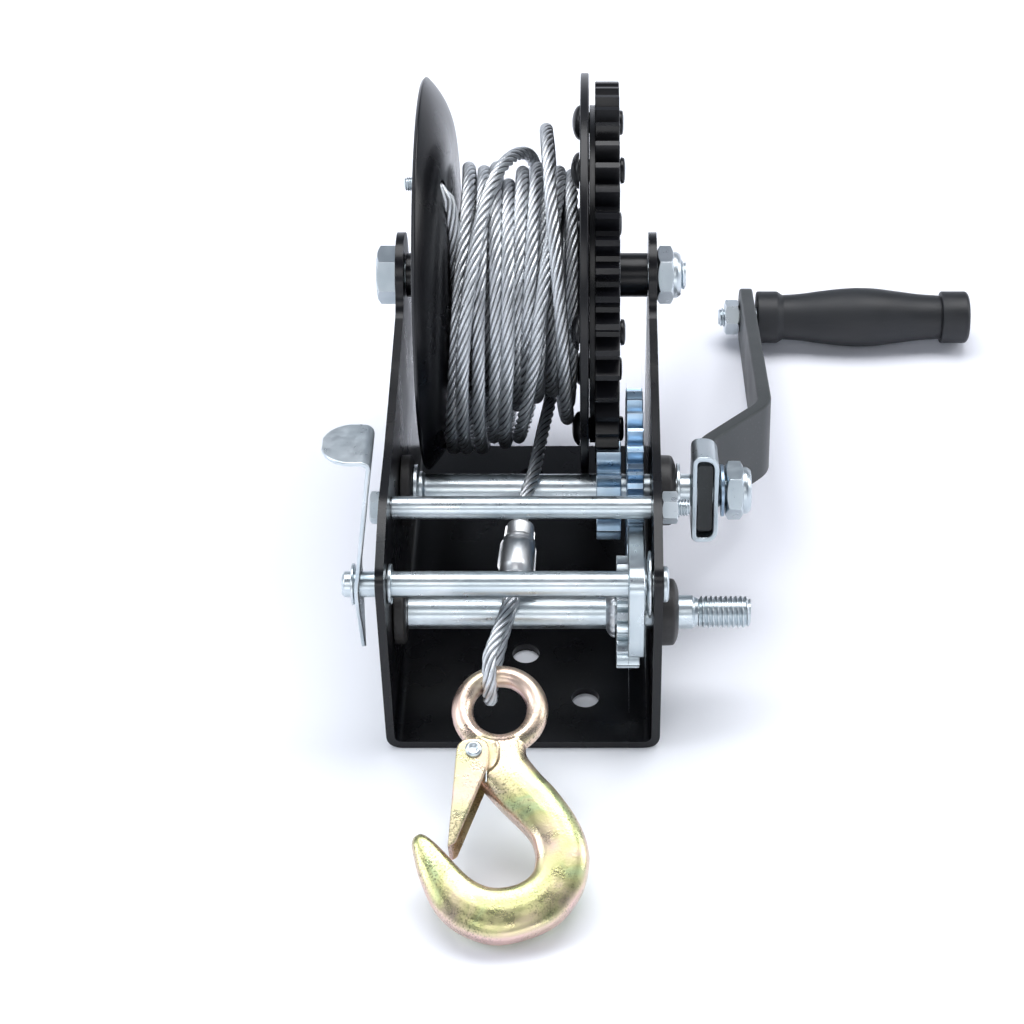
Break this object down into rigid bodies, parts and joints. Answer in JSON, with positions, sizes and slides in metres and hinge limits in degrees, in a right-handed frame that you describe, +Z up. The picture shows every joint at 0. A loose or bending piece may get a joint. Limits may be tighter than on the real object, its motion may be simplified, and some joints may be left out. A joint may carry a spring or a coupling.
{
  "type": "boat trailer winch",
  "caption": "Hand-cranked two-speed boat trailer winch with a bent steel frame, geared cable drum, two-way ratchet lever, wire rope and slip hook.",
  "frame": {"origin": "centre of the underside of the base, which bolts or rests on a flat surface", "axes": "+X along the shafts towards the crank, +Y towards the rear where the drum sits, +Z up"},
  "size_m": [0.2496, 0.3538, 0.176],
  "materials": {
    "black_paint": "gloss black paint",
    "crank_paint": "satin black paint",
    "black_nylon": "black nylon",
    "grip_plastic": "matte black plastic",
    "zinc": "bright blue-white zinc plate",
    "blue_zinc": "blue zinc plate",
    "wire_rope": "galvanised wire rope",
    "aluminium": "pressed aluminium",
    "yellow_zinc": "iridescent yellow chromate on forged steel"
  },
  "bodies": {
    "winch_frame": {"frame": "black_paint", "drum_axle_bolt": "zinc", "drum_axle_nut": "zinc", "drum_axle_sleeve": "black_paint", "upper_bush_left": "black_nylon", "upper_bush_right": "black_nylon", "lower_bush_left": "black_nylon", "lower_bush_right": "black_nylon", "tie_bolt": "zinc", "tie_tube": "zinc", "tie_nut": "zinc", "rope_tail": "wire_rope", "ferrule": "aluminium", "rope_loop": "wire_rope"},
    "drum": {"drum_flange_left": "black_paint", "drum_flange_right": "black_paint", "drum_barrel": "black_paint", "drum_gear": "black_paint", "drum_rivet_1": "black_paint", "drum_rivet_2": "black_paint", "drum_rivet_3": "black_paint", "drum_rivet_4": "black_paint", "drum_rivet_5": "black_paint", "drum_rivet_6": "black_paint", "rope_anchor_bolt": "zinc", "rope_anchor_nut": "zinc", "rope_winding": "wire_rope"},
    "upper_drive": {"upper_shaft": "zinc", "drum_pinion": "blue_zinc", "reduction_gear": "blue_zinc", "upper_washer_left": "zinc", "upper_washer_right": "zinc", "crank_sleeve": "zinc", "crank_arm": "crank_paint", "crank_spring_washer": "zinc", "crank_nut": "zinc", "grip_bolt": "zinc", "grip_nut": "zinc"},
    "grip": {"crank_grip": "grip_plastic"},
    "lower_drive": {"lower_shaft": "zinc", "lower_pinion": "zinc"},
    "ratchet": {"pawl_shaft": "zinc", "pawl": "zinc", "pawl_wave_washer": "zinc", "pawl_ring": "zinc", "lever_push_washer": "zinc", "ratchet_lever": "zinc"},
    "hook": {"hook": "yellow_zinc", "latch_rivet": "zinc"},
    "latch": {"hook_latch": "yellow_zinc", "latch_spring": "zinc"}
  },
  "joints": [
    {"name": "drum_spin", "type": "hinge", "parent": "winch_frame", "child": "drum", "pos_m": [0, 0.064, 0.1013], "axis": [1, 0, 0], "continuous": true},
    {"name": "upper_shaft_spin", "type": "hinge", "parent": "winch_frame", "child": "upper_drive", "pos_m": [0, -0.00472, 0.053], "axis": [1, 0, 0], "continuous": true},
    {"name": "lower_shaft_spin", "type": "hinge", "parent": "winch_frame", "child": "lower_drive", "pos_m": [0, -0.05527, 0.03879], "axis": [1, 0, 0], "continuous": true},
    {"name": "grip_spin", "type": "hinge", "parent": "upper_drive", "child": "grip", "pos_m": [0.14, 0.16146, 0.0127], "axis": [1, 0, 0], "continuous": true},
    {"name": "pawl_swing", "type": "hinge", "parent": "winch_frame", "child": "ratchet", "pos_m": [0, -0.0707, 0.0657], "axis": [1, 0, 0], "range_deg": [-3, 3]},
    {"name": "hook_swing", "type": "hinge", "parent": "winch_frame", "child": "hook", "pos_m": [-0.0069, -0.08955, 0.04003], "axis": [-1, 0, 0], "range_deg": [0, 60]},
    {"name": "latch_swing", "type": "hinge", "parent": "hook", "child": "latch", "pos_m": [-0.0151, -0.11784, 0.02917], "axis": [0, -0.3584, 0.9336], "range_deg": [0, 26], "stiffness_Nm_per_rad": 0.05, "springref_deg": -5.73}
  ],
  "couplings": [
    {"joint": "upper_shaft_spin", "follows": "drum_spin", "ratio": -4.6},
    {"joint": "lower_shaft_spin", "follows": "drum_spin", "ratio": 9.2}
  ]
}
